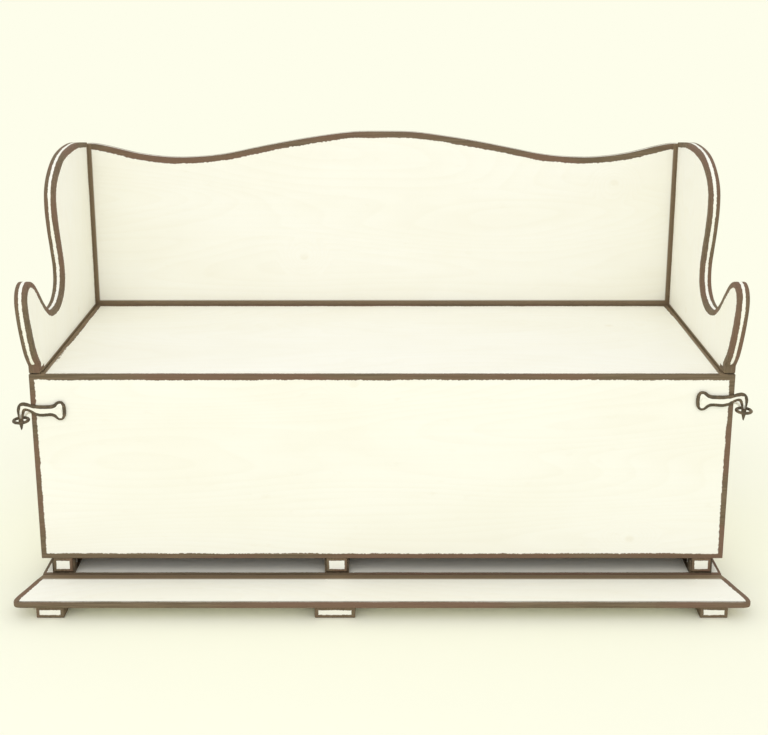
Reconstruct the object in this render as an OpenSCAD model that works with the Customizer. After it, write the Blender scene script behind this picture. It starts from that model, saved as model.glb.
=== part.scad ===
// A settle bed: a high-backed wooden bench whose seat, front board and box
// tip forward in one piece, on pins at the foot, and open out into a low bed.
// Two forged hooks on the front board drop into eyes on the end boards.
// Depths run backwards from the front board's outer face, heights up from the ground.

/* [Overall] */
// Length over the end boards
length = 1830; // [1500:10:2100]
// Front board's outer face to the back's face
seat_depth = 610; // [520:5:680]
// Ground to the top of the seat
seat_height = 615; // [530:5:670]

/* [Back] */
// Top of the back above the seat, at its two ends
back_rise = 496; // [420:1:600]
// How far the middle of the crest stands above its ends
crest_rise = 44; // [10:1:80]
// How far the two hollows of the crest lie below its ends
crest_drop = 34; // [10:1:70]
// Thickness of the back boards
back_t = 25; // [20:1:32]
// Width of the upright battens behind the back
back_batten_w = 70; // [50:1:100]
// Thickness of the upright battens behind the back
back_batten_t = 22; // [16:1:30]
// Top of the back battens above the seat
back_batten_rise = 430; // [300:5:440]
// Height of the ledge that carries the back edge of the seat
ledger_h = 28; // [20:1:40]
// Depth of that ledge, front to back
ledger_d = 30; // [20:1:40]

/* [End boards] */
// Thickness of the end boards
end_t = 30; // [20:1:34]
// Top of the wings above the seat
wing_rise = 527; // [440:1:620]
// Depth of the hollow cut from the front foot of an end board
foot_hollow_d = 80; // [60:1:110]

/* [Box] */
// Thickness of the front board
front_t = 25; // [20:1:32]
// Thickness of the seat board
seat_t = 25; // [20:1:32]
// Thickness of the box's two side boards
cheek_t = 22; // [18:1:28]
// Thickness of the battens behind the front board
front_batten_t = 28; // [24:1:36]
// Width of the two corner battens and their feet
corner_batten_w = 50; // [40:1:60]
// Width of the middle batten and its foot
middle_batten_w = 55; // [40:1:80]
// Width of the battens beside the box's side boards
side_batten_w = 22; // [18:1:30]
// Height of the battens beside the box's side boards
side_batten_h = 45; // [30:1:60]
// Width of the batten under the middle of the seat
seat_batten_w = 45; // [35:1:60]
// Height of the batten under the middle of the seat
seat_batten_h = 22; // [18:1:30]
// Height of the open gap under the front board
toe_gap = 46; // [44:1:60]

/* [Base] */
// Height of the sleepers that stand on the ground
sleeper_h = 32; // [18:1:40]
// Width of the two outer sleepers
side_sleeper_w = 72; // [55:1:90]
// Width of the middle sleeper
middle_sleeper_w = 105; // [80:1:130]
// Thickness of the step and floor boards
floor_t = 14; // [12:1:24]
// How far the step stands out in front of the front board
step_out = 146; // [90:1:150]
// How far each end of the step flares out past the end board
step_flare = 40; // [15:1:50]
// Sideways place of the middle sleeper, foot and battens
middle_x = -122; // [-300:1:300]

/* [Hinge] */
// Radius of the hinge pins
pin_r = 6; // [4:0.5:7]
// Thickness of the bracket's ears
ear_t = 4; // [3:0.5:6]
// Thickness of the bracket's sole plate
sole_t = 3; // [2:0.5:5]
// Height of the pins above the floor boards
pin_rise = 31; // [29:0.5:33]
// Depth of the pins behind the front board's outer face
pin_depth = 14; // [13:0.5:16]
// Iron round a pin in the bracket's ears
ear_wall = 5; // [4:0.5:6]

/* [Hooks and eyes] */
// Palm of the left hook to the corner of the front board
left_reach = 74; // [60:1:90]
// Palm of the right hook to the corner of the front board
right_reach = 80; // [60:1:90]
// Left hook below the top of the seat
left_hook_drop = 98; // [70:1:110]
// Right hook below the top of the seat
right_hook_drop = 71; // [60:1:110]
// Height of a hook's flared palm
palm_h = 52; // [42:1:62]
// Thickness of the hooks' flat iron
hook_t = 5; // [4:0.5:6]
// Radius of the studs that the hooks turn on
stud_r = 5; // [3.5:0.5:6]
// Middle of an eye outside the end board
eye_out = 26.5; // [25:0.5:34]
// Radius of an eye, to the middle of its bar
eye_r = 18.5; // [17:0.5:21]
// Radius of the bar that an eye is bent from
eye_bar_r = 4.2; // [3:0.1:5]
// Width of the eye's mouth, which faces forward
eye_mouth = 16; // [15:0.5:18]
// Width of a hook's tip where it stands in the eye
hook_tip_w = 12.5; // [8:0.5:13]
// Eye below the middle of its hook
eye_drop = 27; // [25:0.5:32]

/* [Nails] */
// Radius of the nails
nail_r = 2; // [1.5:0.1:2.5]
// Radius of the nail heads
nail_head_r = 4; // [3:0.1:5]

/* [Hidden] */

// How far a cutting shape runs past the face that it cuts
over = 2;
// Gap between boards that slide past each other, or that were laid with a joint
board_gap = 1.5;
// Gap under a piece that comes down to rest on another
rest_gap = 0.3;
// Gap between a turning foot and the iron round it
foot_gap = 0.8;
// Extra radius of a bore round the pin, stud, nail or shank in it
bore_gap = 0.05;
// Gap between a hook's flat iron and the front board
hook_gap = 0.4;

// Places across the bench
half = length / 2;
end_in = half - end_t;
cheek_out = end_in - board_gap;
cheek_in = cheek_out - cheek_t;
corner_x = cheek_out - corner_batten_w / 2;
side_batten_x = cheek_in - side_batten_w / 2;
back_side_x = corner_x;

// Heights
floor_z = sleeper_h + floor_t;
front_z = floor_z + toe_gap;
seat_under = seat_height - seat_t;
pin_z = floor_z + pin_rise;
foot_z = floor_z + sole_t + foot_gap;
cheek_z = front_z - cheek_t;
crest_z = seat_height + back_rise;

// Depths behind the front board's outer face
back_y = seat_depth;
back_rear = back_y + back_t;
rear = back_rear + back_batten_t;
batten_rear = front_t + front_batten_t;
end_front = front_t + board_gap;
seat_rear = back_y - board_gap;
cheek_rear = back_y - ledger_d - seat_t / 2;
sleeper_front = -step_out + floor_t / 2;

// The origin lies on the ground under the middle of the whole
front_y = step_out - (step_out + rear) / 2;

// Colours
wood = [0.93, 0.89, 0.76];
bare_wood = [0.62, 0.47, 0.31];
iron = [0.20, 0.16, 0.13];

// Smooth curve through points: each stretch is a cubic that leaves and reaches its two
// points along the lines between their neighbours
curve_steps = 5;
function stretch(a, b, c, d, t) =
    b + t * (c - a) / 2 + t * t * (a - 5 / 2 * b + 2 * c - d / 2) + t * t * t * (3 * (b - c) + d - a) / 2;
function smooth(p, steps = curve_steps) = concat(
    [for (i = [0 : len(p) - 2], k = [0 : steps - 1])
        stretch(p[max(i - 1, 0)], p[i], p[i + 1], p[min(i + 2, len(p) - 1)], k / steps)],
    [p[len(p) - 1]]);
function sized(shares, w, h) = [for (s = shares) [s[0] * w, s[1] * h]];
function turned(p) = [for (i = [len(p) - 1 : -1 : 0]) p[i]];

// Puts depths measured behind the front board's face into the bench's own place
module placed() translate([0, front_y, 0]) children();

// A squared board between two ends along each axis
module board(x, y, z)
    translate([x[0], y[0], z[0]]) cube([x[1] - x[0], y[1] - y[0], z[1] - z[0]]);

// A round bar between two ends along X, at a depth and height
module bar_x(x, y, z, r)
    translate([x[0], y, z]) rotate([0, 90, 0]) cylinder(r = r, h = x[1] - x[0], $fn = 48);

// A round bar between two ends along Y
module bar_y(x, y, z, r)
    translate([x, y[0], z]) rotate([-90, 0, 0]) cylinder(r = r, h = y[1] - y[0], $fn = 48);

// An upright outline of depth and height points, as thick as its span along X
module upright(points, x)
    translate([x[0], 0, 0]) rotate([90, 0, 90]) linear_extrude(x[1] - x[0]) polygon(points);

// Nails. Each has a flush head and is driven along a direction from the face it enters.
// A nail list holds [x, y, z, direction, length].
nail_head_t = nail_head_r / 2;
down = [180, 0, 0];
upward = [0, 0, 0];
backward = [-90, 0, 0];
forward = [90, 0, 0];
leftward = [0, -90, 0];
rightward = [0, 90, 0];

module nail(n) translate([n[0], n[1], n[2]]) rotate(n[3]) {
    cylinder(r = nail_head_r, h = nail_head_t, $fn = 24);
    cylinder(r = nail_r, h = n[4], $fn = 24);
}
module nail_hole(n) translate([n[0], n[1], n[2]]) rotate(n[3]) {
    translate([0, 0, -over]) cylinder(r = nail_head_r + bore_gap, h = over + nail_head_t, $fn = 24);
    cylinder(r = nail_r + bore_gap, h = n[4], $fn = 24);
}
module nails(list) placed() color(iron) for (n = list) nail(n);
module drilled(list) difference() { children(); for (n = list) nail_hole(n); }

// Sleepers: three planks on the ground, front to back, that carry everything
sleeper_x = [-corner_x, middle_x, corner_x];
sleeper_w = [side_sleeper_w, middle_sleeper_w, side_sleeper_w];

// The floor: the step in front and three boards behind it
floor_joints = [for (s = [0, 1, 2, 3]) s * back_rear / 3];
floor_lanes = [[-step_out, -board_gap], for (i = [0 : 2])
    [floor_joints[i] + board_gap / 2, floor_joints[i + 1] - (i == 2 ? 0 : board_gap / 2)]];
// Two nails to each crossing, set askew: shares of the sleeper's and of the board's width
floor_nail_shares = [[0.25, 0.2], [-0.25, 0.8]];
floor_nail_list = [for (lane = floor_lanes, i = [0 : 2], s = floor_nail_shares)
    [sleeper_x[i] + s[0] * sleeper_w[i], lane[0] + s[1] * (lane[1] - lane[0]), floor_z, down,
        floor_t + sleeper_h * 2 / 3]];

module sleeper(i) placed() color(bare_wood) drilled(floor_nail_list)
    board([sleeper_x[i] - sleeper_w[i] / 2, sleeper_x[i] + sleeper_w[i] / 2],
        [sleeper_front, rear], [0, sleeper_h]);

// Half outline of the step, from its back corner round to its middle front: shares of
// the flare past the end board, and of how far it stands out
step_shares = [[0, 0], [0.30, 0.22], [0.62, 0.50], [0.92, 0.74], [1, 0.88], [0.84, 0.97], [0.45, 1]];
module step_board() {
    corner = [for (p = smooth(sized(step_shares, step_flare, -step_out + board_gap)))
        [half - board_gap + p[0], p[1] - board_gap]];
    outline = concat(corner, [for (p = turned(corner)) [-p[0], p[1]]]);
    placed() color(wood) drilled(floor_nail_list)
        translate([0, 0, sleeper_h]) linear_extrude(floor_t) polygon(outline);
}
module floor_board(i) placed() color(bare_wood)
    drilled(concat(floor_nail_list, end_nail_list, bracket_nail_list))
        board([-half, half], floor_lanes[i + 1], [sleeper_h, floor_z]);

// End boards. The front edge runs from the top of the back, round the wing, down to the
// neck, up the arm's curled tip and back down to the seat's front corner: shares of the
// seat's depth and of the wing's rise above the seat
wing_shares = [[1, 0.965], [0.80, 0.996], [0.60, 0.984], [0.475, 0.93], [0.398, 0.845], [0.38, 0.74],
    [0.396, 0.62], [0.425, 0.50], [0.446, 0.40], [0.434, 0.312], [0.379, 0.253], [0.295, 0.234],
    [0.211, 0.256], [0.139, 0.312], [0.072, 0.393], [0.012, 0.458], [-0.048, 0.489], [-0.098, 0.468],
    [-0.119, 0.405], [-0.105, 0.306], [-0.078, 0.208], [-0.043, 0.115], [0.003, 0.042]];
// The hollow in the front foot leaves room for the box's heel as it tips: shares of the
// hollow's depth and of the gap under the front board
foot_hollow_shares = [[0, 1], [0.55, 0.88], [0.88, 0.55], [1, 0]];
function end_outline() = concat(
    [for (p = smooth(sized(wing_shares, seat_depth, wing_rise))) [p[0], p[1] + seat_height]],
    [[end_front / 9, seat_height + board_gap], [end_front, seat_height + board_gap]],
    [for (p = sized(foot_hollow_shares, foot_hollow_d, toe_gap)) [end_front + p[0], floor_z + p[1]]],
    [[back_y, floor_z]]);

// Nails through the back boards into the end boards, and up through the floor boards
end_mid = half - end_t / 2;
end_nail_shares = [0.04, 0.2, 0.36, 0.55, 0.7, 0.85, 0.96];
end_nail_list = concat(
    [for (s = [-1, 1], z = end_nail_shares)
        [s * end_mid, back_rear, floor_z + z * (crest_z - floor_z), forward, back_t * 2.4]],
    [for (s = [-1, 1], i = [0 : 2])
        [s * end_mid, (max(floor_lanes[i + 1][0], end_front + foot_hollow_d) + floor_lanes[i + 1][1]) / 2,
            sleeper_h, upward, floor_t * 3]]);

// Each eye's shank runs back beside the end board and turns into it
shank_r = eye_bar_r - bore_gap * 4;
shank_bend = eye_bar_r * 2;
shank_y = end_front + front_t;
shank_in = end_t * 0.8;
function hook_z(s) = seat_height - (s < 0 ? left_hook_drop : right_hook_drop);
function eye_z(s) = hook_z(s) - eye_drop;

module end_board(s) placed() color(wood) drilled(end_nail_list) difference() {
    upright(end_outline(), s < 0 ? [-half, -end_in] : [end_in, half]);
    bar_x(s < 0 ? [-half - over, -half + shank_in] : [half - shank_in, half + over],
        shank_y, eye_z(s), shank_r + bore_gap);
}

// Back: one wide shaped board above the seat, two plain ones below, on three battens.
// Half of the crest, from the middle outwards: shares of the half length, and of the
// crest's whole wave, from its hollows up to its middle
crest_shares = [[0, 1], [0.10, 0.975], [0.21, 0.81], [0.33, 0.57], [0.42, 0.36], [0.52, 0.12], [0.61, 0.01],
    [0.70, 0], [0.80, 0.14], [0.90, 0.42], [0.955, 0.53], [1, 0.476]];
crest_foot = seat_under - ledger_h - board_gap;
back_joint = (floor_z + crest_foot) / 2;
middle_board_z = [back_joint + board_gap / 2, crest_foot - board_gap / 2];
bottom_board_z = [floor_z, back_joint - board_gap / 2];
batten_top = seat_height + back_batten_rise;
back_nail_z = [floor_z + toe_gap, back_joint - toe_gap, back_joint + toe_gap, crest_foot - toe_gap,
    crest_foot + toe_gap, batten_top - back_batten_rise / 2, batten_top - toe_gap];
back_nail_list = [for (x = [-back_side_x, middle_x, back_side_x], s = [-1, 1], z = back_nail_z)
    [x + s * back_batten_w / 4, rear, z, forward, back_batten_t + back_t * 0.7]];
ledger_nail_shares = [-0.9, -0.6, -0.3, 0, 0.3, 0.6, 0.9];
ledger_nail_list = [for (s = ledger_nail_shares)
    [s * end_in, back_y - ledger_d, seat_under - rest_gap - ledger_h / 2, backward, ledger_d + back_t * 0.7]];
back_holes = concat(end_nail_list, back_nail_list, ledger_nail_list);

module back_board_top() {
    side = [for (p = smooth(sized(crest_shares, half, crest_rise + crest_drop)))
        [p[0], p[1] + crest_z - crest_drop]];
    outline = concat([for (p = turned(side)) [-p[0], p[1]]], side, [[half, crest_foot], [-half, crest_foot]]);
    placed() color(wood) drilled(back_holes)
        translate([0, back_rear, 0]) rotate([90, 0, 0]) linear_extrude(back_t) polygon(outline);
}
module back_board(z) placed() color(bare_wood) drilled(back_holes)
    board([-half, half], [back_y, back_rear], z);
module back_batten(x) placed() color(bare_wood) drilled(back_nail_list)
    board([x - back_batten_w / 2, x + back_batten_w / 2], [back_rear, rear], [sleeper_h, batten_top]);
module seat_ledger() placed() color(bare_wood) drilled(ledger_nail_list)
    board([-end_in, end_in], [back_y - ledger_d, back_y],
        [seat_under - rest_gap - ledger_h, seat_under - rest_gap]);

// Eyes: a bar bent to a ring, lying flat, with its mouth to the front
hook_y = -hook_gap - hook_t / 2;
module eye(s) placed() color(iron) {
    x = s * (half + eye_out);
    difference() {
        translate([x, hook_y, eye_z(s)])
            rotate_extrude($fn = 64) translate([eye_r, 0]) circle(r = eye_bar_r, $fn = 32);
        board([x - eye_mouth / 2, x + eye_mouth / 2], [hook_y - eye_r * 2, hook_y],
            [eye_z(s) - eye_bar_r * 2, eye_z(s) + eye_bar_r * 2]);
    }
    bar_y(x, [hook_y + eye_r, shank_y - shank_bend], eye_z(s), shank_r);
    translate([x - s * shank_bend, shank_y - shank_bend, eye_z(s)]) mirror([s < 0 ? 1 : 0, 0, 0])
        rotate_extrude(angle = 90, $fn = 64) translate([shank_bend, 0]) circle(r = shank_r, $fn = 32);
    bar_x(s < 0 ? [x + shank_bend, -half + shank_in] : [half - shank_in, x - shank_bend],
        shank_y, eye_z(s), shank_r);
}

// Hinge: a foot of each front batten turns on a pin between the ears of a bracket
foot_x = [-corner_x, middle_x, corner_x];
foot_w = [corner_batten_w, middle_batten_w, corner_batten_w];
ear_r = pin_r + ear_wall;
sole_front = pin_depth - ear_r;
sole_rear = batten_rear + front_batten_t;
function ear_out(i) = foot_w[i] / 2 + foot_gap + ear_t;
bracket_nail_list = [for (i = [0 : 2], s = [-1, 1])
    [foot_x[i] + s * foot_w[i] / 4, (batten_rear + sole_rear) / 2, floor_z + sole_t, down, floor_t]];

module hinge_bracket(i) placed() color(iron) drilled(bracket_nail_list) difference() {
    union() {
        board([foot_x[i] - ear_out(i), foot_x[i] + ear_out(i)], [sole_front, sole_rear],
            [floor_z, floor_z + sole_t]);
        for (x = [foot_x[i] - ear_out(i), foot_x[i] + ear_out(i) - ear_t]) {
            bar_x([x, x + ear_t], pin_depth, pin_z, ear_r);
            board([x, x + ear_t], [pin_depth - ear_r, pin_depth + ear_r], [floor_z, pin_z]);
        }
    }
    bar_x([foot_x[i] - ear_out(i) - over, foot_x[i] + ear_out(i) + over], pin_depth, pin_z, pin_r + bore_gap);
}
pin_head_share = 0.85;
pin_head_r = ear_r * pin_head_share;
pin_head_t = ear_t / 4;
module hinge_pin(i) placed() color(iron) {
    out = ear_out(i) + pin_head_t;
    bar_x([foot_x[i] - out, foot_x[i] + out], pin_depth, pin_z, pin_r);
    bar_x([foot_x[i] - out, foot_x[i] - ear_out(i)], pin_depth, pin_z, pin_head_r);
    bar_x([foot_x[i] + ear_out(i), foot_x[i] + out], pin_depth, pin_z, pin_head_r);
}

// The box that tips: front board, seat, two side boards and their battens
// Nails askew down a front batten: shares of its width and of the height behind the board
front_nail_shares = [[-0.2, 0.1], [0.2, 0.37], [-0.2, 0.63], [0.2, 0.9]];
front_nail_list = [for (i = [0 : 2], s = front_nail_shares)
    [foot_x[i] + s[0] * foot_w[i], batten_rear, front_z + s[1] * (seat_under - front_z), forward,
        front_batten_t + front_t * 0.7]];
// Nails in a row: shares of the side board's height or length, or of the seat batten's length
cheek_edge_nail_shares = [0.12, 0.5, 0.88];
cheek_side_nail_shares = [0.15, 0.5, 0.85];
seat_nail_shares = [0.08, 0.34, 0.66, 0.92];
function along_box(share) = batten_rear + share * (cheek_rear - batten_rear);
cheek_edge_nail_list = [for (s = [-1, 1], z = cheek_edge_nail_shares)
    [s * (cheek_out - cheek_t / 2), front_t, cheek_z + z * (seat_under - cheek_z), backward,
        front_batten_t * 2]];
cheek_side_nail_list = [for (s = [-1, 1], y = cheek_side_nail_shares)
    [s * (cheek_in - side_batten_w), along_box(y), seat_under - side_batten_h * 0.7,
        s < 0 ? leftward : rightward, side_batten_w + cheek_t * 0.7]];
cheek_nail_list = concat(cheek_edge_nail_list, cheek_side_nail_list);
seat_nail_list = [for (y = seat_nail_shares, n = [[-side_batten_x, side_batten_h], [middle_x, seat_batten_h],
        [side_batten_x, side_batten_h]])
    [n[0], along_box(y), seat_under - n[1], upward, n[1] + seat_t * 0.6]];

function reach(s) = s < 0 ? left_reach : right_reach;
function stud_x(s) = s * (half - reach(s));
stud_in = front_t * 0.8;
stud_head_r = stud_r * 1.6;
stud_head_t = stud_r * 0.6;

module front_board() placed() color(wood) drilled(front_nail_list) difference() {
    board([-half, half], [0, front_t], [front_z, seat_height]);
    for (s = [-1, 1]) bar_y(stud_x(s), [-over, stud_in], hook_z(s), stud_r + bore_gap);
}
module seat_board() placed() color(wood) drilled(seat_nail_list)
    board([-cheek_out, cheek_out], [front_t, seat_rear], [seat_under, seat_height]);
module cheek(s) placed() color(bare_wood) drilled(cheek_nail_list)
    board(s < 0 ? [-cheek_out, -cheek_in] : [cheek_in, cheek_out], [batten_rear, cheek_rear],
        [cheek_z, seat_under]);
module front_batten(i) placed() color(wood)
    drilled(concat(front_nail_list, cheek_edge_nail_list)) difference() {
        x = [foot_x[i] - foot_w[i] / 2, foot_x[i] + foot_w[i] / 2];
        union() {
            board(x, [front_t, batten_rear], [foot_z, seat_under]);
            board(x, [0, front_t], [foot_z, front_z]);
        }
        difference() {
            board([x[0] - over, x[1] + over], [-over, pin_depth], [foot_z - over, pin_z]);
            bar_x([x[0] - over * 2, x[1] + over * 2], pin_depth, pin_z, pin_z - foot_z);
        }
        bar_x([x[0] - over, x[1] + over], pin_depth, pin_z, pin_r + bore_gap);
    }
module side_batten(s) placed() color(bare_wood) drilled(concat(seat_nail_list, cheek_nail_list))
    board([s * side_batten_x - side_batten_w / 2, s * side_batten_x + side_batten_w / 2],
        [batten_rear, cheek_rear], [seat_under - side_batten_h, seat_under]);
module seat_batten_middle() placed() color(bare_wood) drilled(seat_nail_list)
    board([middle_x - seat_batten_w / 2, middle_x + seat_batten_w / 2], [batten_rear, cheek_rear],
        [seat_under - seat_batten_h, seat_under]);

// Hooks: flat forged iron with a flared palm, a curl over the corner and a pointed tip.
// Upper edge from the palm's end round the curl, and lower edge from inside the curl back
// to the palm: shares of the hook's length from stud to tip, and of the palm's height
hook_upper_shares = [[-0.18, 0], [-0.165, 0.27], [-0.10, 0.46], [-0.01, 0.5], [0.07, 0.44], [0.14, 0.33],
    [0.24, 0.28], [0.46, 0.27], [0.68, 0.30], [0.81, 0.39], [0.93, 0.43], [1.035, 0.33], [1.085, 0.08]];
hook_lower_shares = [[0.865, -0.02], [0.78, -0.04], [0.64, -0.22], [0.46, -0.31], [0.24, -0.28],
    [0.14, -0.32], [0.07, -0.43], [-0.01, -0.5], [-0.10, -0.46], [-0.165, -0.27], [-0.18, 0]];
// The tip between them, down its outer side and up its inner side: shares of the tip's
// width, from its middle, and of the palm's height
hook_tip_shares = [[0.64, -0.18], [0.5, -0.40], [0.48, -0.62], [0.28, -0.84], [0, -1.04],
    [-0.28, -0.84], [-0.48, -0.62], [-0.5, -0.40], [-0.74, -0.18]];
module hook(s) placed() color(iron) difference() {
    hook_l = reach(s) + eye_out;
    tip = [for (p = sized(hook_tip_shares, hook_tip_w, palm_h)) [hook_l + p[0], p[1]]];
    outline = smooth(concat(sized(hook_upper_shares, hook_l, palm_h), tip,
        sized(hook_lower_shares, hook_l, palm_h)));
    translate([stud_x(s), -hook_gap, hook_z(s)]) mirror([s < 0 ? 1 : 0, 0, 0])
        rotate([90, 0, 0]) linear_extrude(hook_t) polygon(outline);
    bar_y(stud_x(s), [-hook_gap - hook_t - over, over], hook_z(s), stud_r + bore_gap);
}
module hook_stud(s) placed() color(iron) {
    bar_y(stud_x(s), [-hook_gap * 2 - hook_t, stud_in], hook_z(s), stud_r);
    bar_y(stud_x(s), [-hook_gap * 2 - hook_t - stud_head_t, -hook_gap * 2 - hook_t], hook_z(s), stud_head_r);
}

sleeper(0);  // sleeper_left
sleeper(1);  // sleeper_middle
sleeper(2);  // sleeper_right
step_board();
floor_board(0);  // floor_board_front
floor_board(1);  // floor_board_middle
floor_board(2);  // floor_board_back
end_board(-1);  // end_board_left
end_board(1);  // end_board_right
back_board_top();
back_board(middle_board_z);  // back_board_middle
back_board(bottom_board_z);  // back_board_bottom
back_batten(-back_side_x);  // back_batten_left
back_batten(middle_x);  // back_batten_middle
back_batten(back_side_x);  // back_batten_right
seat_ledger();
eye(-1);  // eye_left
eye(1);  // eye_right
hinge_bracket(0);  // hinge_bracket_left
hinge_bracket(1);  // hinge_bracket_middle
hinge_bracket(2);  // hinge_bracket_right
hinge_pin(0);  // hinge_pin_left
hinge_pin(1);  // hinge_pin_middle
hinge_pin(2);  // hinge_pin_right
nails(floor_nail_list);  // floor_nails
nails(back_nail_list);  // back_nails
nails(end_nail_list);  // end_board_nails
nails(ledger_nail_list);  // ledger_nails
nails(bracket_nail_list);  // bracket_nails
front_board();
seat_board();
cheek(-1);  // cheek_left
cheek(1);  // cheek_right
front_batten(0);  // front_batten_left
front_batten(1);  // front_batten_middle
front_batten(2);  // front_batten_right
side_batten(-1);  // seat_batten_left
seat_batten_middle();
side_batten(1);  // seat_batten_right
nails(front_nail_list);  // front_nails
nails(seat_nail_list);  // seat_nails
nails(cheek_nail_list);  // cheek_nails
hook_stud(-1);  // hook_stud_left
hook_stud(1);  // hook_stud_right
hook(-1);  // hook_left
hook(1);  // hook_right
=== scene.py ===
import math

import bmesh
import bpy
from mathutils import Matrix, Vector
from mathutils.geometry import intersect_line_line_2d


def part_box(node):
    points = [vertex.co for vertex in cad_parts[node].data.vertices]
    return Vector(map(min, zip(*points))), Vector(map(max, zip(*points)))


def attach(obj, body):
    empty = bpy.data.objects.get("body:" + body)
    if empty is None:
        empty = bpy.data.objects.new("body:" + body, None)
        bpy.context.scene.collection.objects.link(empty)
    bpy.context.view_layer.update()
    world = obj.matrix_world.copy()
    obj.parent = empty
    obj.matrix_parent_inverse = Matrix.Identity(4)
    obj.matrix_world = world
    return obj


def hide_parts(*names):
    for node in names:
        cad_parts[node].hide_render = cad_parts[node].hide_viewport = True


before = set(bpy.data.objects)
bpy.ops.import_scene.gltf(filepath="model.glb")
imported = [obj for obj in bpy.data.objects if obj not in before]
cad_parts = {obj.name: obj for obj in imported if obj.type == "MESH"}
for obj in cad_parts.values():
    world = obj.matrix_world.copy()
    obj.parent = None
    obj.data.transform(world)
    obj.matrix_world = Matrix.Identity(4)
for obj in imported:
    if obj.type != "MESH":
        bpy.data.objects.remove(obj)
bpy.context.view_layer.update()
bpy.ops.object.select_all(action="DESELECT")

# The view: from in front of the middle of the bench, a little higher than its crest and
# looking down on the seat, with the picture shifted so that the uprights stay near upright.
FRONT_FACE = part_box("front_board")[0][1]
VIEW_DISTANCE = 2.840
VIEW_SIDE = 0.005
VIEW_HEIGHT = 1.684
VIEW_PITCH = math.radians(12.94)
SENSOR_WIDTH = 36
LENS = 54.5
SHIFT_DOWN = -0.195

bpy.ops.object.camera_add(
    location=(VIEW_SIDE, FRONT_FACE - VIEW_DISTANCE, VIEW_HEIGHT),
    rotation=(math.pi / 2 - VIEW_PITCH, 0, 0))
camera = bpy.context.object
camera.name = "view_from_the_front"
camera.data.sensor_width = SENSOR_WIDTH
camera.data.lens = LENS
camera.data.shift_y = SHIFT_DOWN
bpy.context.scene.camera = camera


# Sleepers: three rough planks of pine on the ground, front to back, that carry the whole
# bench. Their ends show under the step as low feet, painted with the rest and kicked bare
# along their edges.
def tone(red, green, blue):
    """A colour as it looks on a screen, from 0 to 255, as the shader's own values."""
    parts = [part / 255 for part in (red, green, blue)]
    return [part / 12.92 if part < 0.04045 else ((part + 0.055) / 1.055) ** 2.4 for part in parts] + [1]


CREAM = tone(254, 253, 243)
CREAM_DEEP = tone(251, 249, 236)
CREAM_STAIN = tone(231, 222, 194)
PINE_PALE = tone(196, 160, 115)
PINE_DARK = tone(151, 112, 72)
PINE_KNOT = tone(92, 62, 38)
WORN_PALE = tone(125, 108, 84)
WORN_DARK = tone(99, 84, 62)
WORN_RED = tone(122, 92, 74)
# The colour of the seam bands: painted shade in the corners where parts meet, and dirt.
CORNER_SHADE_AND_DIRT = tone(132, 113, 87)
PAINT_ROUGHNESS = 0.52
PINE_ROUGHNESS = 0.78
SURFACE_RELIEF = 0.0006
SEAM_CORE = 0.7


def feed(tree, socket, value):
    """Joins a socket to another one, or sets its value."""
    if isinstance(value, bpy.types.NodeSocket):
        tree.links.new(value, socket)
    else:
        socket.default_value = value


def place(tree, kind, sockets=None, **settings):
    """A shader node with its settings, each socket given a value or joined to another socket."""
    made = tree.nodes.new("ShaderNode" + kind)
    for name, value in settings.items():
        setattr(made, name, value)
    for name, value in (sockets or {}).items():
        feed(tree, made.inputs[name], value)
    return made


def sum_of(tree, operation, *values):
    """The result of one sum on numbers or sockets."""
    return place(tree, "Math", dict(enumerate(values)), operation=operation).outputs[0]


def blend_of(tree, share, first, second):
    """One colour laid over another, by a share."""
    return place(tree, "Mix", {0: share, 6: first, 7: second}, data_type="RGBA").outputs[2]


def step_of(tree, value, low, high, to_low=0.0, to_high=1.0):
    """A soft step of a value from one level to another."""
    sockets = {"Value": value, "From Min": low, "From Max": high, "To Min": to_low, "To Max": to_high}
    return place(tree, "MapRange", sockets, interpolation_type="SMOOTHSTEP").outputs[0]


def speckle(tree, vector, along, across, detail=3.0, roughness=0.55):
    """Noise with so many specks to a metre along the grain and across it."""
    stretch = (along, across, across)
    spread = place(tree, "VectorMath", {0: vector, 1: stretch}, operation="MULTIPLY").outputs[0]
    sockets = {"Vector": spread, "Scale": 1.0, "Detail": detail, "Roughness": roughness}
    return place(tree, "TexNoise", sockets).outputs[0]


def group_of(name, inputs, outputs):
    """An empty node group. Its inputs are names with a socket kind, its outputs all numbers."""
    tree = bpy.data.node_groups.new(name, "ShaderNodeTree")
    for label, kind in inputs.items():
        tree.interface.new_socket(name=label, in_out="INPUT", socket_type="NodeSocket" + kind)
    for label in outputs:
        tree.interface.new_socket(name=label, in_out="OUTPUT", socket_type="NodeSocketFloat")
    start = tree.nodes.new("NodeGroupInput")
    end = tree.nodes.new("NodeGroupOutput")
    return tree, start.outputs, end.inputs


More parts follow.
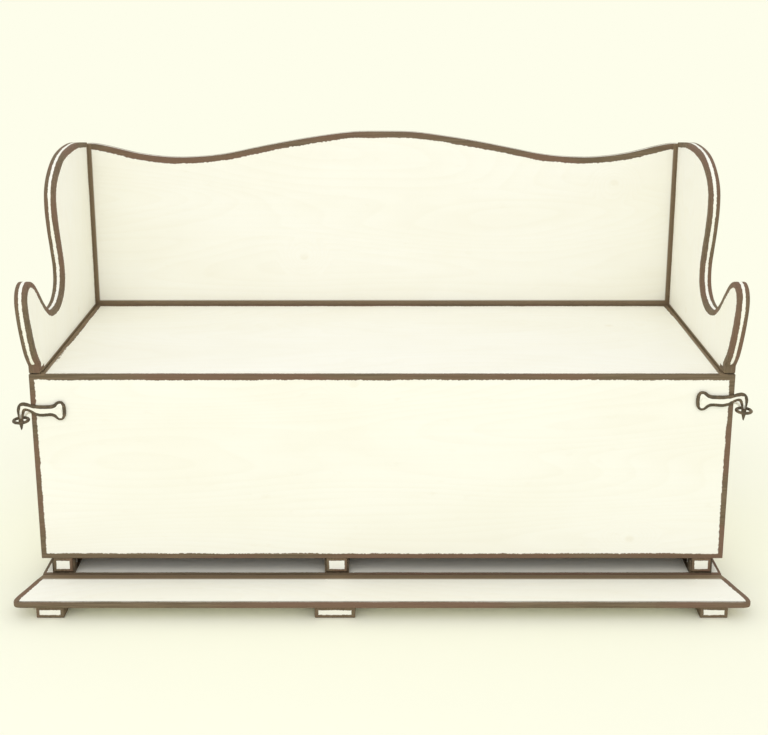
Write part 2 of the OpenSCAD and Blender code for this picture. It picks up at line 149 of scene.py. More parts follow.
def pine_figure():
    """The figure of sawn pine: year rings as long loops, fine fibre, and a few knots that the
    rings bend around. Its vector runs along the grain in X and across the board's face in Y.
    Ghost is how the figure shows through paint."""
    # Each cell may hold one knot. Its size is set a little short along the grain, which draws
    # the knot out to an oval.
    cells_per_metre = (1.3, 4.2, 0.0)
    cell_size = (0.62, 0.24, 0.0)
    knot_heart = 0.004
    knot_rim = 0.014
    bend_reach = 0.075
    bend_height = 0.16
    ring_count = 38.0
    tree, given, result = group_of(
        "pine figure", {"Vector": "Vector"}, ["Rings", "Fibre", "Knot", "Ghost"])
    vector = given["Vector"]
    spread = place(tree, "VectorMath", {0: vector, 1: cells_per_metre}, operation="MULTIPLY").outputs[0]
    heart = place(tree, "TexVoronoi", {"Vector": spread, "Scale": 1.0}, voronoi_dimensions="2D").outputs
    offset = place(tree, "VectorMath", {0: spread, 1: heart["Position"]}, operation="SUBTRACT").outputs[0]
    real = place(tree, "VectorMath", {0: offset, 1: cell_size}, operation="MULTIPLY").outputs[0]
    distance = place(tree, "VectorMath", {0: real}, operation="LENGTH").outputs["Value"]
    chance = place(tree, "SeparateColor", {0: heart["Color"]}).outputs[0]
    present = step_of(tree, chance, 0.62, 0.64)
    near_knot = step_of(tree, distance, knot_heart, knot_rim, 1.0, 0.0)
    knot = sum_of(tree, "MULTIPLY", near_knot, present)
    bend = sum_of(tree, "MULTIPLY", step_of(tree, distance, 0.0, bend_reach, 1.0, 0.0), present)
    drift = speckle(tree, vector, 0.55, 3.4, detail=1.5, roughness=0.4)
    swell = sum_of(tree, "MULTIPLY_ADD", bend, bend_height, drift)
    phase = sum_of(tree, "FRACT", sum_of(tree, "MULTIPLY", swell, ring_count))
    late_wood = sum_of(tree, "POWER", phase, 2.2)
    rings = sum_of(tree, "MULTIPLY", late_wood, step_of(tree, phase, 0.9, 1.0, 1.0, 0.25))
    tree.links.new(rings, result["Rings"])
    tree.links.new(speckle(tree, vector, 7.0, 300.0, detail=4.0, roughness=0.6), result["Fibre"])
    tree.links.new(knot, result["Knot"])
    ghost = sum_of(tree, "MULTIPLY_ADD", knot, 0.18, sum_of(tree, "MULTIPLY", rings, 0.08))
    tree.links.new(ghost, result["Ghost"])
    return tree


def worn_edge():
    """Where paint has gone: a ragged line inside the band beside each arris, and small chips."""
    inputs = {"Vector": "Vector", "Wear": "Float", "Reach": "Float", "Raggedness": "Float"}
    tree, given, result = group_of("worn edge", inputs, ["Bare"])
    vector, wear = given["Vector"], given["Wear"]
    fine = sum_of(tree, "SUBTRACT", speckle(tree, vector, 150.0, 150.0, detail=4.0, roughness=0.6), 0.5)
    broad = sum_of(tree, "SUBTRACT", speckle(tree, vector, 14.0, 14.0, detail=2.0, roughness=0.5), 0.5)
    both = sum_of(tree, "MULTIPLY", sum_of(tree, "ADD", fine, broad), given["Raggedness"])
    both = sum_of(tree, "MULTIPLY", both, step_of(tree, wear, 0.0, 0.12))
    edge = sum_of(tree, "SUBTRACT", sum_of(tree, "ADD", wear, both), given["Reach"])
    bare = step_of(tree, edge, -0.05, 0.05)
    sure = step_of(tree, wear, 0.80, 0.95)
    tree.links.new(sum_of(tree, "MAXIMUM", bare, sure), result["Bare"])
    return tree


def brush_marks():
    """Strokes of a coarse brush along the grain, and the slow clouds of paint that yellowed."""
    tree, given, result = group_of("brush marks", {"Vector": "Vector"}, ["Stroke", "Cloud", "Stain"])
    vector = given["Vector"]
    tree.links.new(speckle(tree, vector, 2.6, 120.0, detail=3.0, roughness=0.6), result["Stroke"])
    tree.links.new(speckle(tree, vector, 2.2, 5.0, detail=3.0, roughness=0.55), result["Cloud"])
    stain = speckle(tree, vector, 16.0, 34.0, detail=5.0, roughness=0.65)
    tree.links.new(step_of(tree, stain, 0.60, 0.80), result["Stain"])
    return tree


PINE_FIGURE = pine_figure()
WORN_EDGE = worn_edge()
BRUSH_MARKS = brush_marks()


def pine_wood(tree, board, tones):
    """Pine, pale and dark by its figure: the wood that never had paint, the dark old wood where
    paint has worn off, how its surface stands up, and how it shows through paint."""
    figure = place(tree, "Group", {"Vector": board}, node_tree=PINE_FIGURE).outputs
    bare = blend_of(tree, sum_of(tree, "MULTIPLY", figure["Rings"], 0.75), *tones)
    bare = blend_of(tree, step_of(tree, figure["Fibre"], 0.35, 0.75, 0.0, 0.45), bare, tones[1])
    bare = blend_of(tree, sum_of(tree, "MULTIPLY", figure["Knot"], 0.85), bare, PINE_KNOT)
    worn = blend_of(tree, step_of(tree, figure["Fibre"], 0.3, 0.7), WORN_DARK, WORN_PALE)
    patches = step_of(tree, speckle(tree, board, 2.4, 9.0, detail=2.0), 0.42, 0.6, 0.0, 0.7)
    worn = blend_of(tree, patches, worn, WORN_RED)
    rings = sum_of(tree, "MULTIPLY", figure["Rings"], 0.5)
    relief = sum_of(tree, "MULTIPLY_ADD", figure["Fibre"], 0.6, rings)
    return {"bare": bare, "worn": worn, "relief": relief, "ghost": figure["Ghost"],
            "roughness": PINE_ROUGHNESS, "metal": 0.0}


def finish(name, stuff=pine_wood, along="X", across="Y", paint=True, reach=0.2, ragged=0.45, seams=(),
           paint_ends=None, tones=(PINE_PALE, PINE_DARK)):
    """A material of some stuff, bare or under old cream milk paint. along and across name the
    axes of the grain and of the board's face. reach and ragged say how far and how unevenly the
    paint is worn. seams are bands darkened with painted shade where parts meet in a corner, and
    with dirt: each a list of (axis, place, width), dark where all of them meet; an axis in small
    letters counts from the middle both ways. paint_ends is (depth, softness): behind it nothing
    is painted. tones holds the two colours of the stuff where it never had paint."""
    material = bpy.data.materials.new(name)
    material.use_nodes = True
    tree = material.node_tree
    shader = tree.nodes["Principled BSDF"]
    here = place(tree, "TexCoord").outputs["Object"]
    axes = place(tree, "SeparateXYZ", {0: here}).outputs
    third = ({"X", "Y", "Z"} - {along, across}).pop()
    board = place(tree, "CombineXYZ", {0: axes[along], 1: axes[across], 2: axes[third]}).outputs[0]
    wear = place(tree, "Attribute", attribute_name="wear").outputs["Fac"]
    under = stuff(tree, board, tones)
    bare, worn, relief = under["bare"], under["worn"], under["relief"]
    edges = {"Wear": wear, "Reach": reach, "Raggedness": ragged, "Vector": here}
    gone = place(tree, "Group", edges, node_tree=WORN_EDGE).outputs["Bare"]

    if paint:
        brush = place(tree, "Group", {"Vector": board}, node_tree=BRUSH_MARKS).outputs
        coat = blend_of(tree, step_of(tree, brush["Cloud"], 0.35, 0.7, 0.0, 0.8), CREAM, CREAM_DEEP)
        coat = blend_of(tree, step_of(tree, brush["Stroke"], 0.3, 0.75, 0.0, 0.35), coat, CREAM_DEEP)
        coat = blend_of(tree, sum_of(tree, "MULTIPLY", brush["Stain"], 0.15), coat, CREAM_STAIN)
        if under["ghost"] is not None:
            coat = blend_of(tree, under["ghost"], coat, CREAM_STAIN)
        if paint_ends:
            depth, softness = paint_ends
            wander = sum_of(tree, "MULTIPLY_ADD", speckle(tree, here, 30.0, 30.0), softness, axes["Y"])
            unpainted = step_of(tree, wander, depth, depth + softness)
            worn = blend_of(tree, unpainted, worn, bare)
            gone = sum_of(tree, "MAXIMUM", gone, unpainted)
        colour = blend_of(tree, gone, coat, worn)
        faint_relief = sum_of(tree, "MULTIPLY", relief, 0.25)
        thickness = sum_of(tree, "MULTIPLY_ADD", brush["Stroke"], 0.35, faint_relief)
        height = sum_of(tree, "ADD", thickness, sum_of(tree, "MULTIPLY", gone, -0.8))
        roughness = step_of(tree, gone, 0.0, 1.0, PAINT_ROUGHNESS, under["roughness"])
        metallic = sum_of(tree, "MULTIPLY", gone, under["metal"]) if under["metal"] else 0.0
    else:
        colour = blend_of(tree, sum_of(tree, "MULTIPLY", gone, 0.55), bare, worn)
        height, roughness, metallic = relief, under["roughness"], under["metal"]

    # Painted shade: each seam darkens the colour in a band where parts meet in a corner, standing in for
    # the shade there, and for dirt as well.
    for seam in seams:
        shade_and_dirt = None
        for axis, middle, width in seam:
            at = axes[axis.upper()]
            at = sum_of(tree, "ABSOLUTE", at) if axis.islower() else at
            off = sum_of(tree, "ABSOLUTE", sum_of(tree, "SUBTRACT", at, middle))
            near = step_of(tree, off, width * SEAM_CORE, width, 1.0, 0.0)
            shade_and_dirt = near if shade_and_dirt is None else sum_of(tree, "MULTIPLY", shade_and_dirt, near)
        colour = blend_of(tree, shade_and_dirt, colour, CORNER_SHADE_AND_DIRT)

    feed(tree, shader.inputs["Base Color"], colour)
    feed(tree, shader.inputs["Roughness"], roughness)
    feed(tree, shader.inputs["Metallic"], metallic)
    bump = place(tree, "Bump", {"Height": height, "Strength": 0.5, "Distance": SURFACE_RELIEF})
    feed(tree, shader.inputs["Normal"], bump.outputs[0])
    return material


AXES = {"X": 0, "Y": 1, "Z": 2}
SHARP_ARRIS = math.radians(32)
SMOOTH_UP_TO = math.radians(50)
FLATNESS = 0.9
SIDE_SHARE = 0.42


def squared_board(name, node):
    """A plank sawn square, of the size and at the place of its CAD node."""
    low, high = (Vector(corner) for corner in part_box(node))
    bpy.ops.object.select_all(action="DESELECT")
    bpy.ops.mesh.primitive_cube_add(size=1, location=(low + high) / 2, scale=high - low)
    plank = bpy.context.object
    plank.name = name
    bpy.ops.object.transform_apply(location=True, rotation=True, scale=True)
    return plank


def set_wear(piece, values):
    """Writes how worn a piece is at each of its corner points, from 0 to 1."""
    piece.data.attributes.new("wear", "FLOAT", "POINT").data.foreach_set("value", values)


def collapse_folds(piece):
    """Draws each corner of a band together to one point where the inset was wider than the face
    has room for and folded it over. The faces inside the band are those selected."""
    mesh = bmesh.from_edit_mesh(piece.data)
    facing = mesh.faces.layers.float_vector["facing"]
    folded = {vertex for face in mesh.faces if face.normal.dot(face[facing]) < 0 for vertex in face.verts}
    inner = {vertex for face in mesh.faces if face.select for vertex in face.verts}
    bpy.ops.mesh.select_mode(type="VERT")
    for vertex in mesh.verts:
        vertex.select = vertex in folded and vertex in inner
    mesh.select_flush_mode()
    bmesh.update_edit_mesh(piece.data)
    if folded & inner:
        bpy.ops.mesh.merge(type="COLLAPSE")
    bpy.ops.mesh.select_mode(type="FACE")


def worn_edges(piece, thin, rounding=0.002, band=0.015, sound=None, bare_sides=False, even=True):
    """Rounds the arrises of a piece and sets off a band beside each. The attribute wear is 1 on
    the arris and 0 inside the band. thin is the axis across the broad faces. sound says where a
    corner point is covered and unworn. With bare_sides the narrow faces are worn right across;
    even keeps the band of one width round the corners."""
    through = AXES[thin]
    depths = [vertex.co[through] for vertex in piece.data.vertices]
    side_room = (max(depths) - min(depths) - 2 * rounding) * SIDE_SHARE
    # The second of two empty slots marks the rounded arrises. In the layer core, 1 is inside the
    # band, -1 is the band itself and 0 is a face that has no band yet.
    piece.data.materials.clear()
    for _ in range(2):
        piece.data.materials.append(None)
    bpy.ops.object.mode_set(mode="EDIT")
    bpy.ops.mesh.select_mode(type="EDGE")
    bpy.ops.mesh.select_all(action="DESELECT")
    bpy.ops.mesh.edges_select_sharp(sharpness=SHARP_ARRIS)
    bpy.ops.mesh.bevel(offset=rounding, segments=2, affect="EDGES", material=1)
    mesh = bmesh.from_edit_mesh(piece.data)
    mesh.faces.layers.int.new("core")
    facing = mesh.faces.layers.float_vector.new("facing")
    for face in mesh.faces:
        face[facing] = face.normal
    bpy.ops.mesh.select_mode(type="FACE")
    insets = [(True, band)] if bare_sides else [(True, band), (False, min(band, side_room))]
    for broad, inset in insets:
        bpy.ops.mesh.select_all(action="DESELECT")
        mesh = bmesh.from_edit_mesh(piece.data)
        core = mesh.faces.layers.int["core"]
        for face in mesh.faces:
            flat = abs(face.normal[through]) > FLATNESS
            face.select = face.material_index == 0 and flat == broad and face[core] == 0
        bmesh.update_edit_mesh(piece.data)
        bpy.ops.mesh.inset(thickness=inset, depth=0, use_boundary=True, use_even_offset=even)
        mesh = bmesh.from_edit_mesh(piece.data)
        core = mesh.faces.layers.int["core"]
        for face in mesh.faces:
            if face.select:
                face[core] = 1
            elif face.material_index == 0 and (abs(face.normal[through]) > FLATNESS) == broad:
                face[core] = -1
        collapse_folds(piece)
    bpy.ops.object.mode_set(mode="OBJECT")
    mesh = piece.data
    wear = [1.0] * len(mesh.vertices)
    for polygon, inside in zip(mesh.polygons, mesh.attributes["core"].data):
        if inside.value == 1:
            for corner in polygon.vertices:
                wear[corner] = 0.0
        polygon.material_index = 0
    for vertex in mesh.vertices:
        if sound and sound(vertex.co):
            wear[vertex.index] = 0.0
    for name in ("core", "facing"):
        mesh.attributes.remove(mesh.attributes[name])
    set_wear(piece, wear)
    bpy.ops.object.shade_smooth_by_angle(angle=SMOOTH_UP_TO)
    weighted = piece.modifiers.new("flat faces", "WEIGHTED_NORMAL")
    weighted.keep_sharp = True
    bpy.ops.object.modifier_apply(modifier=weighted.name)


def fit(piece, material, slot, body, *nodes):
    """Gives a piece its finish and its place on a moving or fixed part of the bench."""
    piece.data.materials.clear()
    piece.data.materials.append(material)
    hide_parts(*nodes)
    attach(piece, body)


SIDES = ("left", "middle", "right")
SLEEPER_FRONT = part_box("sleeper_left")[0][1]
FOOT_PAINT_DEPTH = 0.003
FOOT_PAINT_SOFTNESS = 0.004
SLEEPER_ROUNDING = 0.0025
SLEEPER_BAND = 0.009

sleeper_finish = finish(
    "dark pine sleepers with painted front ends", along="Y", across="X",
    paint_ends=(SLEEPER_FRONT + FOOT_PAINT_DEPTH, FOOT_PAINT_SOFTNESS), tones=(WORN_PALE, WORN_DARK))
for side in SIDES:
    sleeper = squared_board("sleeper_plank_" + side, "sleeper_" + side)
    worn_edges(sleeper, "Z", rounding=SLEEPER_ROUNDING, band=SLEEPER_BAND)
    fit(sleeper, sleeper_finish, "bare_pine", "settle_frame", "sleeper_" + side)

# The step: a painted pine board in front of the box, nailed on the sleepers, with flared ends
# and rounded corners. Its paint is worn off in a narrow line along the front and a broader one
# round the ends, and its back under the box is darkened with painted shade and dirt.
FLOOR_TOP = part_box("step_board")[1][2]
STEP_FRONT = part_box("step_board")[0][1]
SHAPED_ROUNDING = 0.003
STEP_BAND = 0.015
STEP_SHIFT = 0.0125
STEP_CORNER = 0.06
STEP_SHADE_AND_DIRT = 0.031
THIN_SEAM = 0.002
WELD = 0.000002
SAME_LEVEL = 0.00001


def editable_copy(name, node):
    """A copy of a CAD node, its loose triangles merged, active and all selected in edit mode."""
    piece = bpy.data.objects.new(name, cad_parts[node].data.copy())
    bpy.context.scene.collection.objects.link(piece)
    bpy.ops.object.select_all(action="DESELECT")
    piece.select_set(True)
    bpy.context.view_layer.objects.active = piece
    bpy.ops.object.mode_set(mode="EDIT")
    bpy.ops.mesh.select_all(action="SELECT")
    bpy.ops.mesh.remove_doubles(threshold=WELD)
    return piece


def spot(point):
    """The place of a point to a thousandth of a millimetre, by which it is known again."""
    return tuple(round(part, 6) for part in point)


def close_holes(board):
    """Closes every hole in a flat sheet of faces, and leaves its outline open."""
    mesh = bmesh.from_edit_mesh(board.data)
    rims = []
    left = {edge for edge in mesh.edges if edge.is_boundary}
    while left:
        edge = left.pop()
        rim, ends = [edge], [edge.verts[1]]
        while ends:
            for beside in ends.pop().link_edges:
                if beside in left:
                    left.remove(beside)
                    rim.append(beside)
                    ends.extend(beside.verts)
        rims.append(rim)
    rims.sort(key=lambda rim: max(
        (a.verts[0].co - b.verts[0].co).length for a in rim[::4] for b in rim[::4]))
    holes = [{spot(vertex.co) for edge in rim for vertex in edge.verts} for rim in rims[:-1]]
    bpy.ops.mesh.select_mode(type="EDGE")
    for hole in holes:
        bpy.ops.mesh.select_all(action="DESELECT")
        mesh = bmesh.from_edit_mesh(board.data)
        for edge in mesh.edges:
            edge.select = edge.is_boundary and all(spot(vertex.co) in hole for vertex in edge.verts)
        bmesh.update_edit_mesh(board.data)
        bpy.ops.mesh.edge_face_add()
    bpy.ops.mesh.select_mode(type="FACE")


def sawn_board(name, node, axis):
    """A board sawn to an outline: one broad face of its CAD node, with bores and nail holes
    closed, and then its thickness again along an axis. Along X it is the face nearer the middle
    of the bench, otherwise the one at the low end."""
    low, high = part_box(node)
    through = AXES[axis]
    face_at, far = low[through], high[through]
    if axis == "X" and abs(far) <= abs(face_at):
        face_at, far = far, face_at
    board = editable_copy(name, node)
    bpy.ops.mesh.select_mode(type="FACE")
    bpy.ops.mesh.select_all(action="DESELECT")
    mesh = bmesh.from_edit_mesh(board.data)
    for face in mesh.faces:
        face.select = any(abs(vertex.co[through] - face_at) > SAME_LEVEL for vertex in face.verts)
    bmesh.update_edit_mesh(board.data)
    bpy.ops.mesh.delete(type="FACE")
    close_holes(board)
    bpy.ops.mesh.select_all(action="SELECT")
    bpy.ops.mesh.dissolve_faces()
    bpy.ops.mesh.select_all(action="SELECT")
    thickness = Vector((0, 0, 0))
    thickness[through] = far - face_at
    bpy.ops.mesh.extrude_region_move(TRANSFORM_OT_translate={"value": thickness})
    bpy.ops.mesh.select_all(action="SELECT")
    bpy.ops.mesh.normals_make_consistent(inside=False)
    bpy.ops.object.mode_set(mode="OBJECT")
    return board


step_finish = finish(
    "cream paint on the step", along="X", across="Y",
    seams=[[("Y", FRONT_FACE, STEP_SHADE_AND_DIRT), ("Z", FLOOR_TOP, THIN_SEAM)]])
step = sawn_board("step_plank", "step_board", "Z")
worn_edges(step, "Z", rounding=SHAPED_ROUNDING, band=STEP_BAND, bare_sides=True)
for vertex, wear in zip(step.data.vertices, step.data.attributes["wear"].data):
    if wear.value == 0 and vertex.co.y < STEP_FRONT + STEP_CORNER:
        vertex.co.y -= STEP_SHIFT * (1 - (vertex.co.y - STEP_FRONT) / STEP_CORNER)
fit(step, step_finish, "painted_pine", "settle_frame", "step_board")

# Floor boards: three plain planks behind the step, nailed down to the sleepers. The painter's
# brush reached just past the step, and the rest is bare.
FLOOR_PAINT_END = FRONT_FACE + 0.13
FLOOR_PAINT_SOFTNESS = 0.02
PLAIN_ROUNDING = 0.0015
PLAIN_BAND = 0.008

floor_finish = finish(
    "pine floor with a painted front edge", along="X", across="Y",
    paint_ends=(FLOOR_PAINT_END, FLOOR_PAINT_SOFTNESS))
for lane in ("front", "middle", "back"):
    plank = squared_board("floor_plank_" + lane, "floor_board_" + lane)
    worn_edges(plank, "Z", rounding=PLAIN_ROUNDING, band=PLAIN_BAND)
    fit(plank, floor_finish, "bare_pine", "settle_frame", "floor_board_" + lane)

# End boards: a wing, a narrow neck and an arm with a curled tip, all sawn from one thick pine
# plank and rounded along the edges, then nailed to the floor and through the back. Where the
# seat and the back meet them, painted shade and dirt darken the corners.
SEAT_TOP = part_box("seat_board")[1][2]
BACK_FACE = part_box("back_board_top")[0][1]
END_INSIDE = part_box("end_board_right")[0][0]
END_BAND = 0.015
END_BACK_SHADE_AND_DIRT = 0.014
END_SEAT_SHADE_AND_DIRT = 0.009
END_SEAM = 0.004

end_finish = finish(
    "cream paint on the end boards", along="Z", across="Y",
    seams=[[("Y", BACK_FACE, END_BACK_SHADE_AND_DIRT), ("x", END_INSIDE, END_SEAM)],
           [("Z", SEAT_TOP, END_SEAT_SHADE_AND_DIRT), ("x", END_INSIDE, END_SEAM)]])
for side in ("left", "right"):
    board = sawn_board("end_plank_" + side, "end_board_" + side, "X")
    worn_edges(board, "X", rounding=SHAPED_ROUNDING, band=END_BAND)
    fit(board, end_finish, "painted_pine", "settle_frame", "end_board_" + side)

# The back above the seat: one wide board with a serpentine crest, painted, with painted shade
# and dirt along the seat and in both corners.
CREST_BAND = 0.018
BACK_END_SHADE_AND_DIRT = 0.013
BACK_SEAT_SHADE_AND_DIRT = 0.017
BACK_SEAM = 0.003

crest_finish = finish(
    "cream paint on the back", along="X", across="Z",
    seams=[[("x", END_INSIDE, BACK_END_SHADE_AND_DIRT), ("Y", BACK_FACE, BACK_SEAM)],
           [("Z", SEAT_TOP, BACK_SEAT_SHADE_AND_DIRT), ("Y", BACK_FACE, BACK_SEAM)]])
crest = sawn_board("back_plank_with_crest", "back_board_top", "Y")
worn_edges(crest, "Y", rounding=SHAPED_ROUNDING, band=CREST_BAND)
fit(crest, crest_finish, "painted_pine", "settle_frame", "back_board_top")

# The back below the seat: two plain boards, three battens nailed up the rear that hold all
# the back boards together, and the rail that carries the seat's back edge. All bare pine.
UPRIGHT_ROUNDING = 0.002
BEARER_BAND = 0.006

lower_back_finish = finish("bare pine back boards", along="X", across="Z", paint=False)
for lane in ("middle", "bottom"):
    plank = squared_board("back_plank_" + lane, "back_board_" + lane)
    worn_edges(plank, "Y", rounding=PLAIN_ROUNDING, band=PLAIN_BAND)
    fit(plank, lower_back_finish, "bare_pine", "settle_frame", "back_board_" + lane)

upright_finish = finish("bare pine uprights", along="Z", across="X", paint=False)
for side in SIDES:
    batten = squared_board("back_upright_" + side, "back_batten_" + side)
    worn_edges(batten, "Y", rounding=UPRIGHT_ROUNDING, band=PLAIN_BAND)
    fit(batten, upright_finish, "bare_pine", "settle_frame", "back_batten_" + side)

ledger_finish = finish("bare pine ledger", along="X", across="Z", paint=False)
ledger = squared_board("seat_ledge_rail", "seat_ledger")
worn_edges(ledger, "Y", rounding=PLAIN_ROUNDING, band=BEARER_BAND)
fit(ledger, ledger_finish, "bare_pine", "settle_frame", "seat_ledger")

# Nails: wrought, with low hammered heads that stand a little proud of the wood. Those in
# the step were painted over with it, the rest are bare, and those in the back are struck in.
IRON_DARK = tone(84, 72, 55)
IRON_BROWN = tone(114, 97, 74)
IRON_ROUGHNESS = 0.6
IRON_METALLIC = 0.15
HEAD_RADIUS = 0.004
HEAD_AREA_SHARE = 0.85
HEAD_RISE = 0.0007
HEAD_INSETS = ((0.0008, 0.6), (0.0014, 0.4))
SAME_PLANE = math.radians(1)
FORGED_SMOOTH = math.radians(40)
NAIL_PAINT_SOFTNESS = 0.01


def hammer_marks():
    """Flat dents of the hammer, and the scale and thin rust of old forged iron."""
    tree, given, result = group_of("hammer marks", {"Vector": "Vector"}, ["Dent", "Scale"])
    dents = place(tree, "TexVoronoi", {"Vector": given["Vector"], "Scale": 110.0}, feature="SMOOTH_F1")
    tree.links.new(dents.outputs["Distance"], result["Dent"])
    scale = speckle(tree, given["Vector"], 60.0, 60.0, detail=5.0, roughness=0.6)
    tree.links.new(scale, result["Scale"])
    return tree


HAMMER_MARKS = hammer_marks()


def forged_iron(tree, board, tones):
    """Forged iron, dark with thin brown rust, the same where paint has worn off it."""
    marks = place(tree, "Group", {"Vector": board}, node_tree=HAMMER_MARKS).outputs
    bare = blend_of(tree, step_of(tree, marks["Scale"], 0.42, 0.68), *tones)
    relief = sum_of(tree, "MULTIPLY_ADD", marks["Dent"], 0.8, marks["Scale"])
    return {"bare": bare, "worn": bare, "relief": relief, "ghost": None,
            "roughness": IRON_ROUGHNESS, "metal": IRON_METALLIC}


def iron_finish(name, **details):
    """A material of forged iron."""
    return finish(name, stuff=forged_iron, tones=(IRON_DARK, IRON_BROWN), **details)


def hammered_nails(name, node, material, body, head_rise=HEAD_RISE):
    """The nails of a CAD node, each flush head raised to a low hammered dome or struck hollow."""
    nails = editable_copy(name, node)
    bpy.ops.mesh.dissolve_limited(angle_limit=SAME_PLANE)
    bpy.ops.mesh.select_mode(type="FACE")
    bpy.ops.mesh.select_all(action="DESELECT")
    mesh = bmesh.from_edit_mesh(nails.data)
    for face in mesh.faces:
        face.select = face.calc_area() > math.pi * HEAD_RADIUS ** 2 * HEAD_AREA_SHARE
    bmesh.update_edit_mesh(nails.data)
    for inset, rise_share in HEAD_INSETS:
        bpy.ops.mesh.inset(thickness=inset, depth=0, use_individual=True)
        bpy.ops.transform.shrink_fatten(value=head_rise * rise_share)
    bpy.ops.object.mode_set(mode="OBJECT")
    bpy.ops.object.shade_smooth_by_angle(angle=FORGED_SMOOTH)
    fit(nails, material, "wrought_iron", body, node)


nail_iron = iron_finish("wrought iron nails", paint=False)
step_nail_iron = iron_finish(
    "nails painted over in the step", paint_ends=(FRONT_FACE, NAIL_PAINT_SOFTNESS))
hammered_nails("wrought_nails_in_floor", "floor_nails", step_nail_iron, "settle_frame")
for node in ("end_board_nails", "ledger_nails", "bracket_nails"):
    hammered_nails("wrought_" + node, node, nail_iron, "settle_frame")
hammered_nails("wrought_back_nails", "back_nails", nail_iron, "settle_frame", head_rise=-HEAD_RISE / 2)

# Eyes: round bar forged to a closed ring that lies flat, and welded to its own shank, which
# runs back beside the end board and turns into it. The shank was painted with the board,
# and the hook has rubbed the ring bare.
RING_RADIUS = 0.0185
RING_BAR = 0.0042
SHANK_BAR = 0.004
SHANK_BEND = 0.0084
RING_FLATTENED = 0.9
RING_SEGMENTS = 64
BAR_SEGMENTS = 20
BEND_STEPS = 6
HAMMERED = 0.0002

eye_finish = iron_finish("cream paint on the shanks of the eyes", reach=0.5, ragged=0.2)
for side, outward in (("left", -1), ("right", 1)):
    low, high = (Vector(corner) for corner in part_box("eye_" + side))
    hook_low, hook_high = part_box("hook_" + side)
    outer_end = low.x if outward < 0 else high.x
    inner_end = high.x if outward < 0 else low.x
    ring_x = outer_end - outward * (RING_RADIUS + RING_BAR)
    middle = Vector((ring_x, (hook_low[1] + hook_high[1]) / 2, (low.z + high.z) / 2))
    bend_at = high.y - SHANK_BAR - SHANK_BEND
    bpy.ops.object.select_all(action="DESELECT")
    bpy.ops.mesh.primitive_torus_add(
        location=middle, major_radius=RING_RADIUS, minor_radius=RING_BAR,
        major_segments=RING_SEGMENTS, minor_segments=BAR_SEGMENTS)
    eye = bpy.context.object
    eye.name = "forged_eye_" + side
    bpy.ops.object.transform_apply(location=True, rotation=True, scale=True)
    bpy.ops.object.mode_set(mode="EDIT")
    bpy.ops.mesh.select_all(action="SELECT")
    bpy.ops.transform.resize(value=(1, 1, RING_FLATTENED), center_override=middle)
    bpy.ops.transform.vertex_random(offset=HAMMERED, uniform=0.5, normal=0.5, seed=4)
    bpy.ops.object.mode_set(mode="OBJECT")
    ring_corners = len(eye.data.vertices)
    bpy.ops.object.mode_set(mode="EDIT")
    bpy.ops.mesh.select_all(action="DESELECT")
    bpy.ops.mesh.primitive_circle_add(
        vertices=BAR_SEGMENTS, radius=SHANK_BAR, fill_type="NGON", rotation=(math.pi / 2, 0, 0),
        location=middle + Vector((0, RING_RADIUS, 0)))
    bpy.ops.mesh.extrude_region_move(
        TRANSFORM_OT_translate={"value": (0, bend_at - middle.y - RING_RADIUS, 0)})
    bpy.ops.mesh.spin(
        steps=BEND_STEPS, angle=-outward * math.pi / 2, axis=(0, 0, 1),
        center=(middle.x - outward * SHANK_BEND, bend_at, middle.z))
    bpy.ops.mesh.extrude_region_move(
        TRANSFORM_OT_translate={"value": (inner_end - middle.x + outward * SHANK_BEND, 0, 0)})
    bpy.ops.mesh.select_all(action="SELECT")
    bpy.ops.mesh.normals_make_consistent(inside=False)
    bpy.ops.object.mode_set(mode="OBJECT")
    bpy.ops.object.shade_smooth_by_angle(angle=FORGED_SMOOTH)
    set_wear(eye, [float(corner < ring_corners) for corner in range(len(eye.data.vertices))])
    fit(eye, eye_finish, "wrought_iron", "settle_frame", "eye_" + side)

# Hinges: a foot of each front batten turns on a riveted pin between two ears of a bracket,
# all wrought iron and never painted, down in the shadow under the front board.
hinge_iron = iron_finish("wrought iron hinges", paint=False)
for side in SIDES:
    for node in ("hinge_bracket_", "hinge_pin_"):
        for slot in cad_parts[node + side].material_slots:
            slot.material = hinge_iron

# The front board: one plain pine board over the whole width, nailed to the battens behind it,
# painted and worn along all its edges. Painted shade and dirt beside the seat run on across its top.
SEAT_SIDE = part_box("seat_board")[1][0]
SEAT_SHADE_AND_DIRT = 0.013
SQUARED_ROUNDING = 0.002
BOX_BAND = 0.016
SOUND_TOP = SEAT_TOP - 0.012
SOUND_BEHIND = FRONT_FACE + 0.018

front_finish = finish(
    "cream paint on the front board", along="X", across="Z",
    seams=[[("x", SEAT_SIDE, SEAT_SHADE_AND_DIRT), ("Z", SEAT_TOP, THIN_SEAM)]])
front = squared_board("front_plank", "front_board")
worn_edges(
    front, "Y", rounding=SQUARED_ROUNDING, band=BOX_BAND,
    sound=lambda point: point.z > SOUND_TOP and point.y > SOUND_BEHIND)
fit(front, front_finish, "painted_pine", "bed_box", "front_board")

# The seat: one plain board nailed behind the front board, which covers its front edge. It
# carries the sitters and becomes the bed's front side when the box is open.
SEAT_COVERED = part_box("seat_board")[0][1] + 0.003

# Painted shade and dirt: the seat darkens towards both ends, where it meets the end boards.
seat_finish = finish(
    "cream paint on the seat", along="X", across="Y", seams=[[("x", SEAT_SIDE, SEAT_SHADE_AND_DIRT)]])
seat = squared_board("seat_plank", "seat_board")
worn_edges(
    seat, "Z", rounding=SQUARED_ROUNDING, band=BOX_BAND, sound=lambda point: point.y < SEAT_COVERED)
fit(seat, seat_finish, "painted_pine", "bed_box", "seat_board")

# The box's two side boards, inside the end boards: bare pine, nailed between the front board
# and the seat.
CHEEK_BAND = 0.007

